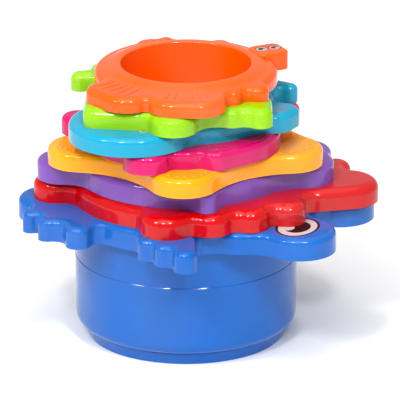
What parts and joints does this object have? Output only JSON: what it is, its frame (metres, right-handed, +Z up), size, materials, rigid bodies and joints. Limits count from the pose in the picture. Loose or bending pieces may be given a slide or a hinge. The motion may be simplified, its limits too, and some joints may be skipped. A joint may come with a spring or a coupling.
{
  "type": "stacking cup tower",
  "caption": "Tower of nesting toy cups, each with an animal-shaped flange that rests on the cup below; cups lift out and stack.",
  "frame": {"origin": "centre of the largest cup's foot, on the common axis of the cups, on the surface that the tower stands on", "axes": "+Z up along the cups' axis, the way they lift out; -Y is the side seen from the front, and the frog's head points to +X and a little to -Y"},
  "size_m": [0.1447, 0.1487, 0.1139],
  "materials": {
    "blue_plastic": "glossy injection-moulded polypropylene",
    "red_plastic": "glossy injection-moulded polypropylene",
    "violet_plastic": "glossy injection-moulded polypropylene",
    "yellow_plastic": "glossy injection-moulded polypropylene",
    "magenta_plastic": "glossy injection-moulded polypropylene",
    "sky_blue_plastic": "glossy injection-moulded polypropylene",
    "green_plastic": "glossy injection-moulded polypropylene",
    "orange_plastic": "glossy injection-moulded polypropylene",
    "eye_label": "printed plastic film with a dark rim and pupil"
  },
  "bodies": {
    "frog_body": {"frog_cup": "blue_plastic", "frog_left_eye": "eye_label", "frog_right_eye": "eye_label"},
    "crab_body": {"crab_cup": "red_plastic", "crab_left_eye": "eye_label", "crab_right_eye": "eye_label"},
    "dolphin_body": {"dolphin_cup": "violet_plastic", "dolphin_left_eye": "eye_label", "dolphin_right_eye": "eye_label"},
    "starfish_body": {"starfish_cup": "yellow_plastic"},
    "turtle_body": {"turtle_cup": "magenta_plastic", "turtle_left_eye": "eye_label", "turtle_right_eye": "eye_label"},
    "whale_body": {"whale_cup": "sky_blue_plastic", "whale_left_eye": "eye_label", "whale_right_eye": "eye_label"},
    "lizard_body": {"lizard_cup": "green_plastic", "lizard_left_eye": "eye_label", "lizard_right_eye": "eye_label"},
    "fish_body": {"fish_cup": "orange_plastic", "fish_inner_eye": "eye_label", "fish_outer_eye": "eye_label"}
  },
  "joints": [
    {"name": "crab_lift", "type": "slide", "parent": "frog_body", "child": "crab_body", "axis": [0, 0, 1], "range_m": [0, 0.057]},
    {"name": "dolphin_lift", "type": "slide", "parent": "crab_body", "child": "dolphin_body", "axis": [0, 0, 1], "range_m": [0, 0.054]},
    {"name": "starfish_lift", "type": "slide", "parent": "dolphin_body", "child": "starfish_body", "axis": [0, 0, 1], "range_m": [0, 0.051]},
    {"name": "turtle_lift", "type": "slide", "parent": "starfish_body", "child": "turtle_body", "axis": [0, 0, 1], "range_m": [0, 0.048]},
    {"name": "whale_lift", "type": "slide", "parent": "turtle_body", "child": "whale_body", "axis": [0, 0, 1], "range_m": [0, 0.045]},
    {"name": "lizard_lift", "type": "slide", "parent": "whale_body", "child": "lizard_body", "axis": [0, 0, 1], "range_m": [0, 0.042]},
    {"name": "fish_lift", "type": "slide", "parent": "lizard_body", "child": "fish_body", "axis": [0, 0, 1], "range_m": [0, 0.039]}
  ]
}
